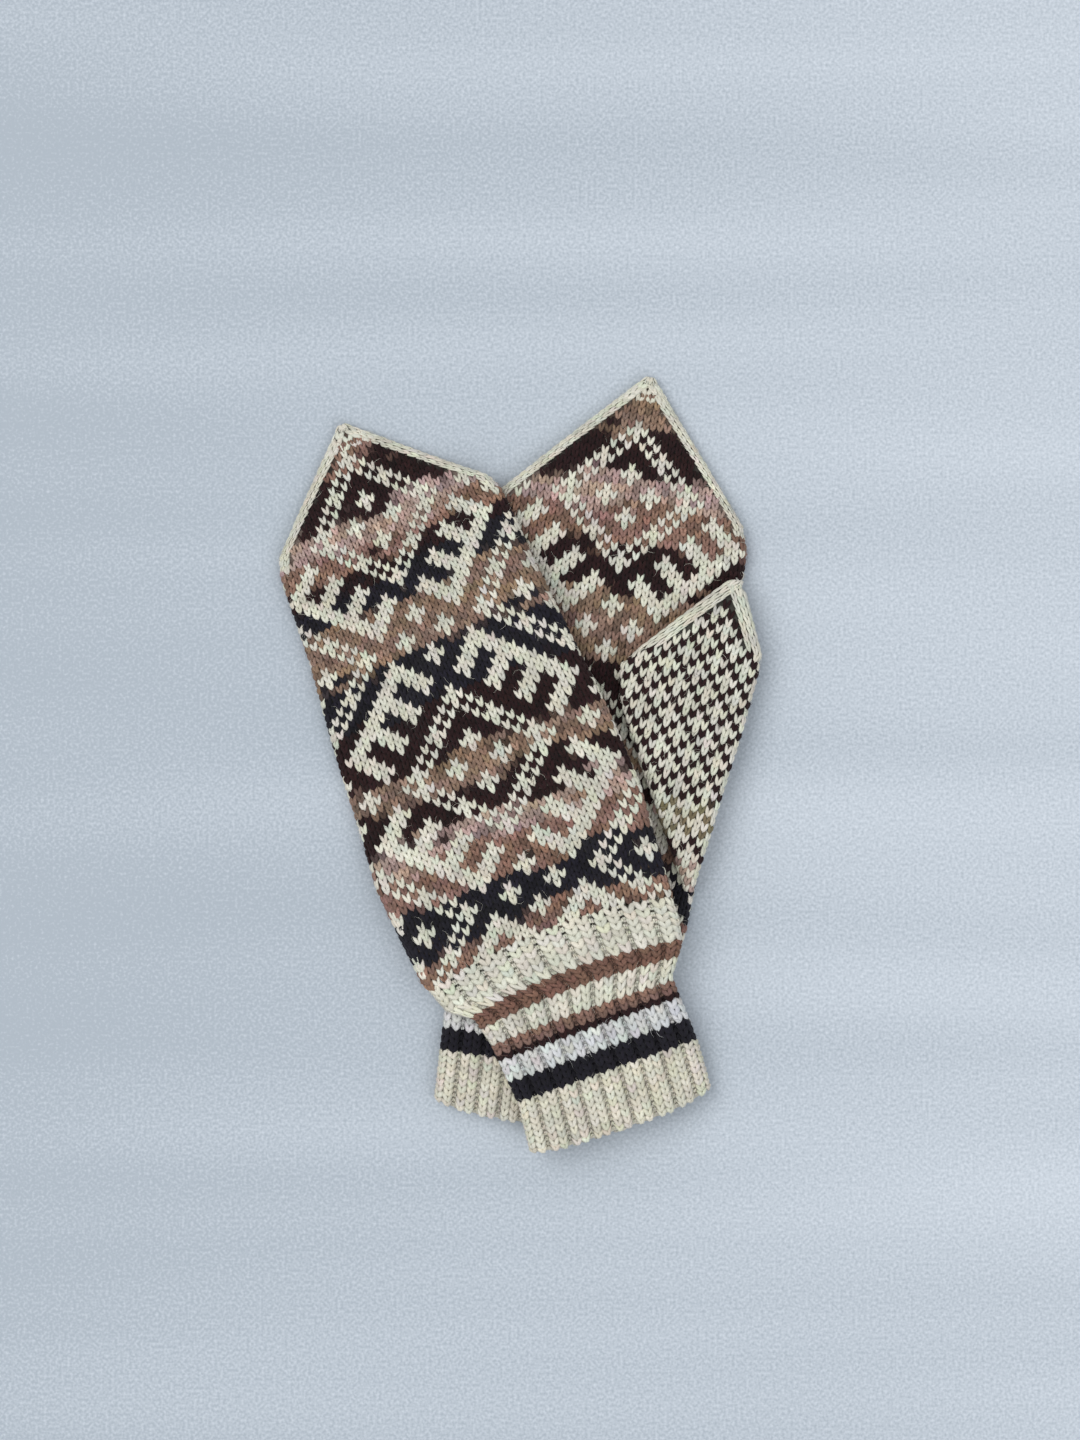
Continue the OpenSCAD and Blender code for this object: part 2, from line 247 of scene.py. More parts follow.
def ground(m, x, y):
    if m is right:
        return np.zeros_like(x)
    thumbs = 1 - (1 - over_thumb(left, x, y)) * (1 - over_thumb(right, x, y))
    return over_right(x, y) + (THUMB_LAY + 2 * SLACK) * thumbs


# --- Flattened tubes: d is the distance round one, from its +s side line over its top ---------------------------
def quarter_turn(radius, half_h):
    return np.pi / 2 * np.sqrt((radius ** 2 + half_h ** 2) / 2)


def half_turn(half_w, half_h, radius):
    return 2 * (quarter_turn(radius, half_h) + half_w - radius)


def outline(half_w, half_h, radius, d, h):
    """Points (across, up) on a flattened tube's outline, h outside it."""
    quarter = quarter_turn(radius, half_h)
    flat = half_w - radius
    half = 2 * (quarter + flat)
    d = np.mod(d, 2 * half)
    under = d > half
    e = np.where(under, 2 * half - d, d)
    on_edge = (e < quarter) | (e > quarter + 2 * flat)
    far = np.where(e < quarter, e, e - 2 * flat)
    angle = np.where(on_edge, far / quarter * np.pi / 2, np.pi / 2)
    middle = np.where(e < quarter, flat, np.where(on_edge, -flat, flat - (e - quarter)))
    across = middle + np.where(on_edge, radius * np.cos(angle), 0) + h * np.cos(angle)
    up = half_h * np.sin(angle) + h * np.sin(angle)
    return across, np.where(under, -up, up)


def ripple(a, d, seed):
    """Smooth unevenness of hand knitting, about -1 to 1."""
    wide = np.sin(a / 17 + d / 29 + seed)
    slow = np.sin(a / 31 - d / 19 + 2 * seed)
    fine = np.sin(a / 11 + d / 13 + 3 * seed)
    return (wide + slow + fine) / 3


SIDE_RIPPLE, LONG_RIPPLE, THUMB_RIPPLE = 0.35, 0.4, 0.25      # unevenness across and along
LOWEST = 0.1             # no yarn is nearer the table than this


def hand_surface(m, a, d, h):
    """Table points of a mitten's hand or cuff."""
    half_w, half_h = m.half_width(a), m.half_height(a)
    radius = np.minimum(EDGE_RADIUS, half_w)
    across, up = outline(half_w - INSET, half_h - INSET, np.maximum(radius - INSET, 0.4), d, h)
    s = across + m.bend(a) + SIDE_RIPPLE * ripple(a, 0 * a, m.lean)
    rise = -m.slant * s * (1 - eased(a / 90))
    rise += CORNER_RISE * (np.abs(s) / CUFF_HALF) ** 4 * np.maximum(0, 1 - a / WELT_END)
    x, y = m.at(s, a + rise + LONG_RIPPLE * ripple(a, d, 1.0 + m.lean))
    return np.stack([x, y, np.maximum(ground(m, x, y) + half_h + up, LOWEST)], axis=-1)


def hand_half_turn(m, a):
    half_w = m.half_width(a)
    radius = np.minimum(EDGE_RADIUS, half_w)
    return half_turn(half_w - INSET, m.half_height(a) - INSET, np.maximum(radius - INSET, 0.4))


def thumb_ground(m, s, a):
    if m is left:
        x, y = m.at(s, a)
        return over_right(x, y) + SLACK
    return LAY + JOINT_GAP - DROOP * eased((s - DROOP_START) / DROOP_WIDTH)


def thumb_sizes(m, a):
    low = np.interp(a, m.thumb_low[:, 0], m.thumb_low[:, 1])
    high = np.interp(a, m.thumb_high[:, 0], m.thumb_high[:, 1])
    half_w = (high - low) / 2
    towards_tip = 0.75 + 0.25 * eased((THUMB_END - a) / 20)
    from_start = 0.6 + 0.4 * eased((a - GUSSET_START) / 14)
    half_h = THUMB_LAY / 2 * towards_tip * from_start
    radius = np.minimum(THUMB_LAY / 2, half_w * 0.9)
    return (low + high) / 2, half_w, half_h, radius


def thumb_surface(m, a, d, h):
    middle, half_w, half_h, radius = thumb_sizes(m, a)
    across, up = outline(half_w - INSET, half_h - INSET, np.maximum(radius - INSET, 0.3), d, h)
    s = middle + across
    x, y = m.at(s, a + THUMB_RIPPLE * ripple(a, d, 2.0))
    return np.stack([x, y, thumb_ground(m, s, a) + half_h + up], axis=-1)


def thumb_half_turn(m, a):
    middle, half_w, half_h, radius = thumb_sizes(m, a)
    return half_turn(half_w - INSET, half_h - INSET, np.maximum(radius - INSET, 0.3))


# --- The chart --------------------------------------------------------------------------------------------------
def star(dx, dy):
    """Four small stars round a point, 3 stitches out each way."""
    return (dx + np.abs(dy - 3) <= 1) | (np.abs(dx - 3) + dy <= 1)


def chart_is_cream(x, y):
    """The diamond pattern. x is stitches from a panel's middle column, y rounds from the main diamond's middle."""
    x = np.abs(x)
    closing = y > REPEAT     # in the pointed end only the last diamond goes on
    y = np.abs(np.mod(y + REPEAT // 2, REPEAT) - REPEAT // 2)
    p, q = x + y, x - y
    inner = (p <= 7) & star(x, y)
    crossing = star(x, REPEAT // 2 - y) | star(REPEAT // 2 - x, y)
    ladder = (p == 8) | (p == 10) | ((p == 9) & (np.mod(q, 8) == 7))
    tooth = (p >= 14) & (p <= 19) & (np.abs(q) <= 10) & (np.abs(np.abs(np.abs(q) - 6) - 3) <= 1)
    comb_band = (p >= 20) & (p <= 22) & (np.abs(q) <= 10)
    r = REPEAT - p
    side_ladder = (r == 8) | (r == 10) | ((r == 9) & (np.mod(q, 8) == 7))
    side_inner = (r <= 7) & star(REPEAT // 2 - x, REPEAT // 2 - y)
    between = crossing & (p > 10) & (r > 10) | tooth | comb_band | side_ladder | side_inner
    return inner | ladder | between & ~closing


def check_is_cream(x, y):
    """The thumb's small check: cream crosses in a lattice of dark diagonals."""
    return (np.mod(x + y, 4) != 2) & (np.mod(x - y, 4) != 2)


# --- Yarn -------------------------------------------------------------------------------------------------------
SIDES = 6


def tube(points, radii, flatness=0.85):
    """An open-ended tube along points (stitches, rounds, mm out): vertices, faces, place along and round it."""
    points = np.array(points, float)
    rings = len(points)
    tangent = np.gradient(points, axis=0)
    side = np.stack([tangent[:, 1], -tangent[:, 0], np.zeros(rings)], axis=1)
    side /= np.linalg.norm(side, axis=1)[:, None]
    angle = np.arange(SIDES) * 2 * np.pi / SIDES
    vertices, yarn = [], []
    for i in range(rings):
        for t in angle:
            reach = side[i] * np.cos(t) * radii[i] / ROW + np.array([0, 0, np.sin(t) * radii[i] * flatness])
            vertices.append(points[i] + reach)
            yarn.append((i / (rings - 1), np.cos(t), np.sin(t)))
    faces = []
    for i in range(rings - 1):
        for j in range(SIDES):
            k = (j + 1) % SIDES
            faces.append((i * SIDES + j, (i + 1) * SIDES + j, (i + 1) * SIDES + k, i * SIDES + k))
    return np.array(vertices), np.array(faces), np.array(yarn)


def joined(parts):
    vertices, faces, yarn, count = [], [], [], 0
    for v, f, g in parts:
        vertices.append(v)
        faces.append(f + count)
        yarn.append(g)
        count += len(v)
    return np.concatenate(vertices), np.concatenate(faces), np.concatenate(yarn)


def knit_stitch():
    """Two legs of a V, which start behind the round below and go in behind the round above."""
    legs = []
    for side in (-1, 1):
        path = [(0.05, -0.30, -0.60), (0.11, 0.02, 0.02), (0.22, 0.42, 0.25), (0.32, 0.80, 0.14), (0.39, 1.16, -0.66)]
        radii = [0.7 * YARN, 0.95 * YARN, 1.1 * YARN, 1.0 * YARN, 0.6 * YARN]
        v, f, g = tube([(side * u, w, h) for u, w, h in path], radii)
        legs.append((v, f if side > 0 else f[:, ::-1], g))
    return joined(legs)


def purl_stitch():
    """Two bars across, one bowed up and one bowed down."""
    bars = []
    for side, middle in ((1, 0.78), (-1, 0.28)):
        path = [(u, middle + side * 0.14 * (1 - 4 * u * u), 0.15 - 2.2 * u * u) for u in (-0.5, -0.25, 0, 0.25, 0.5)]
        bars.append(tube(path, [0.85 * YARN, YARN, YARN, YARN, 0.85 * YARN]))
    return joined(bars)


KNIT = knit_stitch()
PURL = purl_stitch()


def stitches(template, columns, rounds, place, colours):
    """Copies of a stitch at each (column, round). place maps columns, rounds and heights to table points."""
    v, f, g = template
    n = len(columns)
    lean = random.normal(0, 0.03, n)
    size = random.normal(1, 0.05, n)
    u = columns[:, None] + v[None, :, 0] * size[:, None] + lean[:, None] * (v[None, :, 1] - 0.5)
    w = rounds[:, None] + v[None, :, 1] + random.normal(0, 0.03, n)[:, None]
    h = v[None, :, 2] * size[:, None] + random.normal(0, 0.05, n)[:, None]
    points = place(u, w, h)
    faces = (f[None] + (np.arange(n) * len(v))[:, None, None]).reshape(-1, 4)
    shade = random.normal(1, 0.06, (n, 1)) + random.normal(0, 0.025, (n, 3))
    colour = np.repeat(np.clip(colours * shade, 0, 1), len(v), axis=0)
    yarn = np.broadcast_to(g[None], (n, *g.shape)).reshape(-1, 3).copy()
    yarn[:, 0] += np.repeat(random.uniform(0, 50, n), len(v))
    return points.reshape(-1, 3), faces, colour, yarn


HAIR = 0.045             # radius of a stray fibre at its root
HAIR_TAPER = np.array([1, 1, 0.8, 0.3])
HAIR_SIDES = 3
HAIRS = 1.1              # stray fibres to a stitch
ASIDE = np.array([0.13, 0.21, 0.97])     # a direction that no fibre runs in for long


def unit(vectors):
    return vectors / (np.linalg.norm(vectors, axis=2, keepdims=True) + 1e-9)


def hairs(columns, rounds, place, colours):
    """Stray fibres that stand off the yarn and lie over their neighbours, in the colour of the stitch they leave."""
    count = int(len(columns) * HAIRS)
    rings = len(HAIR_TAPER)
    root = random.integers(0, len(columns), count)
    along = np.linspace(0, 1, rings)
    turn, bend = random.uniform(0, 2 * np.pi, count), random.normal(0, 1.3, count)
    length = random.uniform(0.5, 1.5, count)
    way = turn[:, None] + bend[:, None] * along
    reach = length[:, None] * along
    u = columns[root][:, None] + random.uniform(-0.4, 0.4, count)[:, None] + reach * np.cos(way)
    w = rounds[root][:, None] + random.uniform(0, 1, count)[:, None] + reach * np.sin(way)
    rise = random.uniform(0.3, 1.1, count)[:, None]
    path = place(u, w, 0.35 + rise * np.sin(np.pi * 0.75 * along))
    ahead = unit(np.gradient(path, axis=1))
    across = unit(np.cross(ahead, ASIDE))
    over = np.cross(across, ahead)
    angle = np.arange(HAIR_SIDES) * 2 * np.pi / HAIR_SIDES
    radius = HAIR * HAIR_TAPER[None, :, None, None]
    ring = across[:, :, None] * np.cos(angle)[:, None] + over[:, :, None] * np.sin(angle)[:, None]
    points = path[:, :, None] + radius * ring
    i, j = (g.ravel() for g in np.meshgrid(np.arange(rings - 1), np.arange(HAIR_SIDES), indexing="ij"))
    k = (j + 1) % HAIR_SIDES
    near, far = i * HAIR_SIDES, (i + 1) * HAIR_SIDES
    face = np.stack([near + j, far + j, far + k, near + k], axis=1)
    each = rings * HAIR_SIDES
    faces = (face[None] + (np.arange(count) * each)[:, None, None]).reshape(-1, 4)
    colour = np.repeat(colours[root] * random.uniform(0.95, 1.2, (count, 1)), each, axis=0)
    return points.reshape(-1, 3), faces, np.clip(colour, 0, 1), np.zeros((count * each, 3))


def mesh_piece(name, parts, material, body):
    """One Blender object from lists of (points, faces, colours, yarn places)."""
    parts = [part for part in parts if len(part[0])]
    points, faces, colours, yarn, count = [], [], [], [], 0
    for p, f, c, g in parts:
        points.append(p)
        faces.append(f + count)
        colours.append(c)
        yarn.append(g)
        count += len(p)
    points, faces = np.concatenate(points) * MM, np.concatenate(faces)
    mesh = bpy.data.meshes.new(name)
    mesh.vertices.add(len(points))
    mesh.vertices.foreach_set("co", points.astype(np.float32).ravel())
    mesh.loops.add(faces.size)
    mesh.loops.foreach_set("vertex_index", faces.astype(np.int32).ravel())
    mesh.polygons.add(len(faces))
    mesh.polygons.foreach_set("loop_start", np.arange(0, faces.size, 4, dtype=np.int32))
    mesh.update(calc_edges=True)
    mesh.polygons.foreach_set("use_smooth", np.ones(len(faces), bool))
    tint = mesh.color_attributes.new("tint", "FLOAT_COLOR", "POINT")
    rgba = np.concatenate([np.concatenate(colours), np.ones((len(points), 1))], axis=1)
    tint.data.foreach_set("color", rgba.astype(np.float32).ravel())
    place = mesh.attributes.new("yarn", "FLOAT_VECTOR", "POINT")
    place.data.foreach_set("vector", np.concatenate(yarn).astype(np.float32).ravel())
    mesh.materials.append(material)
    piece = bpy.data.objects.new(name, mesh)
    bpy.context.collection.objects.link(piece)
    if body:
        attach(piece, body)
    return piece


# --- Materials --------------------------------------------------------------------------------------------------
def node(tree, kind, **settings):
    made = tree.nodes.new(kind)
    for key, value in settings.items():
        setattr(made, key, value)
    return made


def remapped(tree, source, from_range, to_range):
    """A node that maps a socket's values from one range to another, clamped."""
    made = node(tree, "ShaderNodeMapRange")
    ends = (*from_range, *to_range)
    for label, value in zip(("From Min", "From Max", "To Min", "To Max"), ends):
        made.inputs[label].default_value = value
    tree.links.new(source, made.inputs["Value"])
    return made.outputs["Result"]


PLY_TURNS = 11.0         # radians that the plies wind in one leg of a stitch
PATCH = 0.1              # how much lighter or darker whole patches of yarn are


def wool(name, fleck, sheen):
    """Wool yarn: its colour from the mesh, flecked by fibres, with its plies and fuzz as bump."""
    material = bpy.data.materials.new(name)
    material.use_nodes = True
    tree = material.node_tree
    shader = tree.nodes["Principled BSDF"]
    shader.inputs["Roughness"].default_value = 0.9
    shader.inputs["Specular IOR Level"].default_value = 0.25
    shader.inputs["Sheen Weight"].default_value = sheen
    shader.inputs["Sheen Roughness"].default_value = 0.55
    tint = node(tree, "ShaderNodeAttribute", attribute_name="tint")
    place = node(tree, "ShaderNodeAttribute", attribute_name="yarn")
    where = node(tree, "ShaderNodeTexCoord")
    fibres = node(tree, "ShaderNodeTexNoise")
    fibres.inputs["Scale"].default_value = 1900
    fibres.inputs["Detail"].default_value = 3
    tree.links.new(where.outputs["Object"], fibres.inputs["Vector"])
    patches = node(tree, "ShaderNodeTexNoise")
    patches.inputs["Scale"].default_value = 90
    tree.links.new(where.outputs["Object"], patches.inputs["Vector"])
    both = node(tree, "ShaderNodeMath", operation="MULTIPLY")
    light = remapped(tree, fibres.outputs["Fac"], (0.3, 0.7), (1 - fleck, 1 + fleck))
    patch = remapped(tree, patches.outputs["Fac"], (0.3, 0.7), (1 - PATCH, 1 + PATCH))
    tree.links.new(light, both.inputs[0])
    tree.links.new(patch, both.inputs[1])
    colour = node(tree, "ShaderNodeVectorMath", operation="SCALE")
    tree.links.new(tint.outputs["Color"], colour.inputs[0])
    tree.links.new(both.outputs[0], colour.inputs["Scale"])
    tree.links.new(colour.outputs["Vector"], shader.inputs["Base Color"])
    # plies: ridges that wind round the yarn as they go along it
    parts = node(tree, "ShaderNodeSeparateXYZ")
    tree.links.new(place.outputs["Vector"], parts.inputs[0])
    turn = node(tree, "ShaderNodeMath", operation="ARCTAN2")
    tree.links.new(parts.outputs["Y"], turn.inputs[0])
    tree.links.new(parts.outputs["Z"], turn.inputs[1])
    twist = node(tree, "ShaderNodeMath", operation="MULTIPLY_ADD")
    twist.inputs[1].default_value = PLY_TURNS
    tree.links.new(parts.outputs["X"], twist.inputs[0])
    double = node(tree, "ShaderNodeMath", operation="MULTIPLY")
    double.inputs[1].default_value = 2.0
    tree.links.new(turn.outputs[0], double.inputs[0])
    tree.links.new(double.outputs[0], twist.inputs[2])
    wave = node(tree, "ShaderNodeMath", operation="SINE")
    tree.links.new(twist.outputs[0], wave.inputs[0])
    height = node(tree, "ShaderNodeMath", operation="MULTIPLY_ADD")
    height.inputs[1].default_value = 0.35
    tree.links.new(wave.outputs[0], height.inputs[0])
    tree.links.new(fibres.outputs["Fac"], height.inputs[2])
    bump = node(tree, "ShaderNodeBump")
    bump.inputs["Strength"].default_value = 0.5
    bump.inputs["Distance"].default_value = 0.3 * MM
    tree.links.new(height.outputs[0], bump.inputs["Height"])
    tree.links.new(bump.outputs["Normal"], shader.inputs["Normal"])
    return material


light_wool = wool("light_wool", 0.10, 0.2)
dark_wool = wool("dark_wool", 0.30, 0.04)
lining_wool = wool("lining_wool", 0.2, 0.05)


# --- Pieces -----------------------------------------------------------------------------------------------------
def pitch_at(m, a):
    """Width of one stitch: an even share of the half turn, and constant round the pointed end."""
    return hand_half_turn(m, np.minimum(a, m.shoulder)) / FACE


def face_way(half, u, top):
    """Distance round the tube to a point u from the middle of its top or of its underside."""
    return half * 0.5 - u if top else half * 1.5 + u


def panel_place(m, top):
    """Places panel stitches: x from the middle column, y in rounds of the chart."""
    def place(x, y, h):
        a = m.chart_middle + ROW * y
        u, a = m.drifted(x * pitch_at(m, a), a, top)
        return hand_surface(m, a, face_way(hand_half_turn(m, a), u, top), h)
    return place


def panel(m, which, top):
    rows = np.arange(m.first_row, m.last_row + 1)
    first = -FACE // 2 + (1 if top else 0)
    x, y = (g.ravel().astype(float) for g in np.meshgrid(np.arange(first, first + FACE), rows))
    a = m.chart_middle + ROW * (y + 0.5)
    pitch = pitch_at(m, a)
    u, laid = m.drifted(x * pitch, a, top)
    room = hand_half_turn(m, laid) / 2 - BAND * eased((laid - m.shoulder + 2) / 4)
    kept = (laid < m.shoulder) | (np.abs(u) + 0.3 * pitch < room)
    kept &= laid < LENGTH - 6
    x, y = x[kept], y[kept]
    cream = chart_is_cream(x, y)
    place = panel_place(m, top)
    for tone, chosen, wool_used in (("cream", cream, light_wool), ("dark", ~cream, dark_wool)):
        if tone == "cream":
            tint = np.tile(CREAM, (chosen.sum(), 1))
        else:
            tint = self_striping(m.stripes, x[chosen], y[chosen])
        parts = [
            stitches(KNIT, x[chosen], y[chosen], place, tint),
            hairs(x[chosen], y[chosen], place, tint),
        ]
        piece = mesh_piece(f"{m.name}_{which}_{tone}_yarn", parts, wool_used, f"{m.name}_mitten")
        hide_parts(f"{m.name}_{which}")


BAND_STITCH = 2.3        # length of an edge band stitch, measured along a
BAND_COLUMN = 2.3        # width of one of the band's columns
BAND_COLUMNS = (-2, -1, 0, 1, 2)


def edge_band(m):
    """Five columns of stitches that run up each slanted edge."""
    parts = []
    count = int((LENGTH - 2 - m.shoulder) / BAND_STITCH)
    for middle in (0, 1):
        for column in BAND_COLUMNS:
            rounds = np.arange(count, dtype=float) + 0.25 * column

            def place(u, w, h, middle=middle):
                a = m.shoulder - 1 + BAND_STITCH * w
                d = hand_half_turn(m, a) * middle + u * BAND_COLUMN
                return hand_surface(m, np.minimum(a, LENGTH - 0.5), d, h)
            tint = np.tile(CREAM, (count, 1))
            parts.append(stitches(KNIT, np.full(count, float(column)), rounds, place, tint))
            parts.append(hairs(np.full(count, float(column)), rounds, place, tint))
    piece = mesh_piece(f"{m.name}_edge_band_yarn", parts, light_wool, f"{m.name}_mitten")
    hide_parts(f"{m.name}_edge_band")


def closing(point, half_h, width):
    """A few stitches that face along the mitten and close an end. point maps across, up and out to the table."""
    def place(u, w, h):
        up = w * ROW
        return point(u * width, up, 0.9 * h - 0.12 * up * up)
    column, row = (g.ravel().astype(float) for g in np.meshgrid((-0.8, 0.8), (-1.0, 0.0)))
    return stitches(KNIT, column, row * half_h / ROW, place, np.tile(CREAM, (len(column), 1)))


TIP_ROUNDS = ((0, 10), (1, 8), (2, 6), (3, 4))      # round, stitches in it


def tip(m):
    """The last stitches, drawn together."""
    parts = []
    for row, around in TIP_ROUNDS:
        column = np.arange(around, dtype=float)

        def place(u, w, h, around=around):
            a = np.minimum(LENGTH - 10 + 2.6 * w, LENGTH - 0.3)
            return hand_surface(m, a, u / around * 2 * hand_half_turn(m, a), h)
        parts.append(stitches(KNIT, column, np.full(around, float(row)), place, np.tile(CREAM, (around, 1))))

    def point(s, up, out):
        x, y = m.at(s, LENGTH - 1.6 + out)
        return np.stack([x, y, np.maximum(ground(m, x, y) + m.half_height(LENGTH) + up, LOWEST)], axis=-1)
    parts.append(closing(point, 2.4, 1.3))
    piece = mesh_piece(f"{m.name}_tip_yarn", parts, light_wool, f"{m.name}_mitten")
    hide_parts(f"{m.name}_tip")


RIB = 4                  # stitches in one rib: two knit, two purl
KNIT_SHARE = 0.87        # of a rib's width taken by its two knit stitches
KNIT_RELIEF, PURL_RELIEF = 0.25, -1.15
SCALLOP = 1.3            # the cast-on edge is drawn up between the ribs


def rib_way(u):
    """Where the rib stitches u round the cuff lie, as a share of the round, and how far out of its surface."""
    whole = np.floor(u / RIB)
    part = u / RIB - whole
    squeezed = np.where(part < 0.5, part * 2 * KNIT_SHARE, KNIT_SHARE + (part - 0.5) * 2 * (1 - KNIT_SHARE))
    off_crown = np.abs(np.mod(squeezed - KNIT_SHARE / 2 + 0.5, 1) - 0.5)
    relief = KNIT_RELIEF + (PURL_RELIEF - KNIT_RELIEF) * eased((off_crown - 0.27) / 0.2)
    return (whole + squeezed) * RIB / AROUND, relief


def cuff_surface(m, a, share, h):
    """Table points on the ribbing, at a share of the way round and at height h of a stitch."""
    turn = 2 * hand_half_turn(m, a)
    d = np.mod(share, 1) * turn
    u = np.where(d < turn / 2, turn / 4 - d, d - turn * 0.75)
    a = m.drifted(u, a)[1]
    return hand_surface(m, a, share * 2 * hand_half_turn(m, a), h)


def rib_place(m, start, height):
    def place(u, w, h):
        share, relief = rib_way(u)
        a = start + height * w
        fade = 1 - 0.75 * eased((a - BROWN_END) / (CUFF_END - BROWN_END))
        scallop = -SCALLOP * (relief - KNIT_RELIEF) / (KNIT_RELIEF - PURL_RELIEF) * (1 - eased(a / 9))
        return cuff_surface(m, a + scallop, share, h + relief * fade)
    return place


def cuff_band(m, name, start, end, rounds, colours, material):
    height = (end - start) / rounds
    place = rib_place(m, start, height)
    parts = []
    for template, offsets in ((KNIT, (0, 1)), (PURL, (2, 3))):
        columns = np.array([r * RIB + o for r in range(AROUND // RIB) for o in offsets]) + 0.5
        x, y = (g.ravel() for g in np.meshgrid(columns, np.arange(rounds, dtype=float)))
        tint = np.array(colours)[np.clip(y.astype(int), 0, len(colours) - 1)]
        parts.append(stitches(template, x, y, place, tint))
        parts.append(hairs(x, y, place, tint))
    piece = mesh_piece(f"{m.name}_{name}_yarn", parts, material, f"{m.name}_mitten")
    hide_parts(f"{m.name}_{name}")
    return piece


def cuff(m):
    bands = [
        ("cast_on", 0.6, CAST_ON_END, 1, [WARM_CREAM], light_wool, "cream_yarn"),
        ("welt", CAST_ON_END, WELT_END, 8, [WARM_CREAM], light_wool, "cream_yarn"),
        ("stripe_navy", WELT_END, NAVY_END, 3, [NAVY], dark_wool, "navy_yarn"),
        ("stripe_white", NAVY_END, WHITE_END, 3, [WHITE], light_wool, "white_yarn"),
        ("stripe_taupe", WHITE_END, TAUPE_END, 3, [PLUM, TAUPE, BROWN], dark_wool, "taupe_yarn"),
        ("stripe_cream", TAUPE_END, CREAM_END, 3, [CREAM], light_wool, "cream_yarn"),
        ("stripe_brown", CREAM_END, BROWN_END, 3, [RUST], dark_wool, "brown_yarn"),
        ("cuff_top", BROWN_END, m.chart_middle + ROW * m.first_row, 6, [CREAM], light_wool, "cream_yarn"),
    ]
    for name, start, end, rounds, colours, material, slot in bands:
        piece = cuff_band(m, name, start, end, rounds, colours, material)


# --- Thumbs -----------------------------------------------------------------------------------------------------
THUMB_ORIGIN = (34.7, 177.8)     # s and a of a cross's middle on the check
THUMB_LEAN = np.radians(8)
THUMB_PITCH, THUMB_ROW = 2.79, 3.03
THUMB_BAND = [(1, 184, 3.1), (0, 188, 3.4)]      # side line, where its cream band starts, and its stitch's length
THUMB_BAND_WIDTH = 7.2
THUMB_BAND_COLUMNS = (-0.6, 0.4, 1.4, 2.4)            # towards the upper face


def thumb_grid(x, y):
    """s and a of a stitch of the thumb's check."""
    c, n = np.cos(THUMB_LEAN), np.sin(THUMB_LEAN)
    across, up = x * THUMB_PITCH, y * THUMB_ROW
    return THUMB_ORIGIN[0] + across * c + up * n, THUMB_ORIGIN[1] - across * n + up * c


def thumb_place(m, top):
    def place(x, y, h):
        s, a = thumb_grid(x, y)
        a = np.clip(a, GUSSET_START + 0.3, THUMB_END - 0.3)
        middle, half_w, half_h, radius = thumb_sizes(m, a)
        return thumb_surface(m, a, face_way(thumb_half_turn(m, a), s - middle - m.thumb_offset, top), h)
    return place


def thumb_check(m, top):
    x, y = (g.ravel().astype(float) for g in np.meshgrid(np.arange(-20, 21), np.arange(-30, 16)))
    s, a = thumb_grid(x, y + 0.5)
    middle, half_w, half_h, radius = thumb_sizes(m, np.clip(a, GUSSET_START, THUMB_END))
    u = s - middle - m.thumb_offset
    room = thumb_half_turn(m, np.clip(a, GUSSET_START, THUMB_END)) / 2
    width = THUMB_BAND_WIDTH if top else THUMB_BAND_WIDTH / 3
    low = room - width * eased((a - THUMB_BAND[0][1]) / 3)
    high = room - width * eased((a - THUMB_BAND[1][1]) / 3)
    kept = (a > GUSSET_START + 1) & (a < THUMB_END - 5) & (u > -low + 0.2) & (u < high - 0.2)
    return x[kept], y[kept], a[kept]


def thumb(m):
    for tone in ("cream", "dark"):
        parts = []
        for top in (True, False):
            x, y, a = thumb_check(m, top)
            cream = check_is_cream(x, y)
            chosen = cream if tone == "cream" else ~cream
            if tone == "cream":
                tint = np.tile(CREAM, (chosen.sum(), 1))
            else:
                tint = stripe_colour(THUMB_STRIPES, a[chosen])
            parts.append(stitches(KNIT, x[chosen], y[chosen], thumb_place(m, top), tint))
            parts.append(hairs(x[chosen], y[chosen], thumb_place(m, top), tint))
        if tone == "cream":
            for side, start, length in THUMB_BAND:
                count = int((THUMB_END - 1 - start) / length)
                for column in THUMB_BAND_COLUMNS:
                    def place(u, w, h, side=side, start=start, length=length):
                        a = np.minimum(start + length * w, THUMB_END - 0.3)
                        towards = u * 2.3 * (1 - 2 * side)
                        return thumb_surface(m, a, thumb_half_turn(m, a) * side + towards, h + 0.45)
                    rounds = np.arange(count, dtype=float) + 0.33 * column
                    tint = np.tile(CREAM, (count, 1))
                    parts.append(stitches(KNIT, np.full(count, column), rounds, place, tint))

            def point(s, up, out):
                middle, half_w, half_h, radius = thumb_sizes(m, THUMB_END)
                s = s + middle
                x, y = m.at(s, THUMB_END - 1.4 + out)
                return np.stack([x, y, thumb_ground(m, s, THUMB_END) + half_h + up], axis=-1)
            parts.append(closing(point, 2.2, 1.5))
        piece = mesh_piece(f"{m.name}_thumb_{tone}_yarn", parts, light_wool if tone == "cream" else dark_wool, None)
        bend_at_thumb(m, piece)
        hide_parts(f"{m.name}_gusset", f"{m.name}_thumb")


def bend_at_thumb(m, piece):
    """Finds two points on the thumb's middle either side of the crotch, which nothing uses, and bakes the piece's
    placing into its mesh.
    """
    middle = float(thumb_sizes(m, CROTCH)[0])
    ends = []
    for a in (CROTCH - 5, CROTCH + 9):
        x, y = m.at(middle, a)
        ends.append((x * MM, y * MM, float(thumb_ground(m, middle, CROTCH) + THUMB_LAY / 2) * MM))
    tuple(ends[0])
    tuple(ends[1])
    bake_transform(piece)
